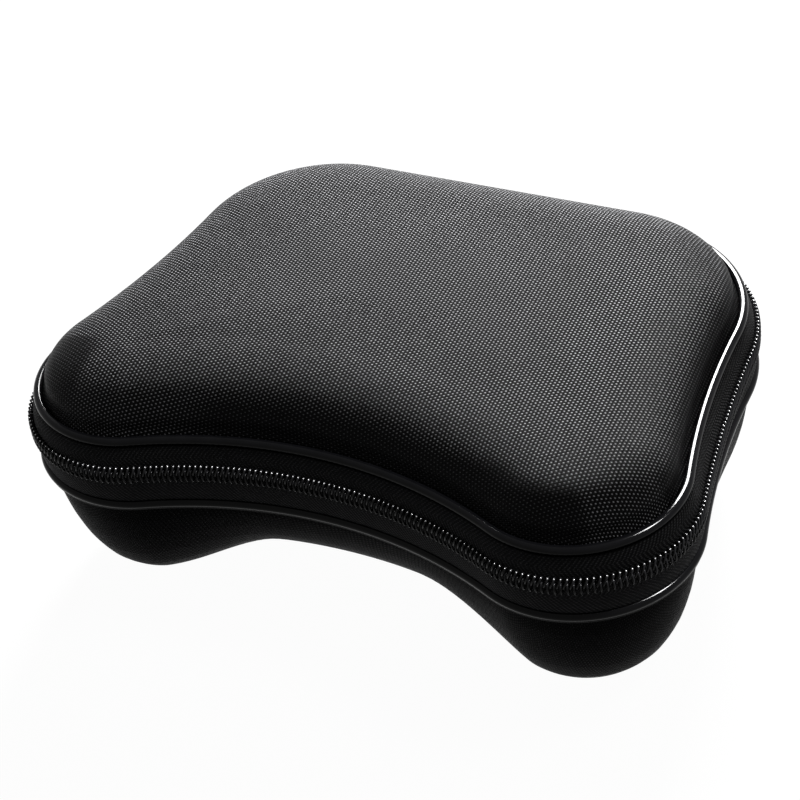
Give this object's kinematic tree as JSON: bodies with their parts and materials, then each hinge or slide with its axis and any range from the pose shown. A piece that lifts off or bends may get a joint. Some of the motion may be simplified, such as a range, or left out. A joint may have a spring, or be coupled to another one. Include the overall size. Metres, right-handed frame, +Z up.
{
  "type": "controller carrying case",
  "caption": "Moulded fabric carrying case for a game controller: shallow domed lid, deeper lobed base, piped rims, coil zip and a fabric hinge at the back.",
  "frame": {"origin": "centre of the bounding box's underside, where the base rests", "axes": "+Z up, the two front lobes face -Y, the hinge panel is at +Y, X runs across the case"},
  "size_m": [0.181, 0.1351, 0.0678],
  "materials": {
    "shell_fabric": "woven ballistic nylon over moulded foam",
    "piping": "glossy sheathed cord",
    "zip_tape": "twill woven tape",
    "zip_teeth": "nylon coil",
    "zip_metal": "black painted",
    "hinge_fabric": "woven nylon",
    "binding": "woven binding tape",
    "net": "elastic net"
  },
  "bodies": {
    "base": {"base_shell": "shell_fabric", "base_piping": "piping", "base_zip_tape": "zip_tape", "base_zip_teeth": "zip_teeth", "base_binding": "binding", "hinge_panel": "hinge_fabric", "zip_stop_left": "zip_metal", "zip_stop_right": "zip_metal"},
    "lid": {"lid_shell": "shell_fabric", "lid_piping": "piping", "lid_zip_tape": "zip_tape", "lid_tape_end": "zip_tape", "lid_zip_teeth": "zip_teeth", "lid_binding": "binding", "lid_pocket_net": "net", "lid_pocket_elastic": "binding"},
    "slider": {"zip_slider": "zip_metal"},
    "pull": {"zip_pull": "zip_metal"}
  },
  "joints": [
    {"name": "lid_hinge", "type": "hinge", "parent": "base", "child": "lid", "pos_m": [0, 0.0644, 0.046], "axis": [-1, 0, 0], "range_deg": [0, 180], "deforming": ["hinge_panel"]},
    {"name": "slider_run", "type": "slide", "parent": "base", "child": "slider", "axis": [-1, 0, 0], "range_m": [0, 0.005]},
    {"name": "pull_swing", "type": "hinge", "parent": "slider", "child": "pull", "pos_m": [-0.0263, 0.066, 0.046], "axis": [0, 0, 1], "range_deg": [0, 140]}
  ]
}
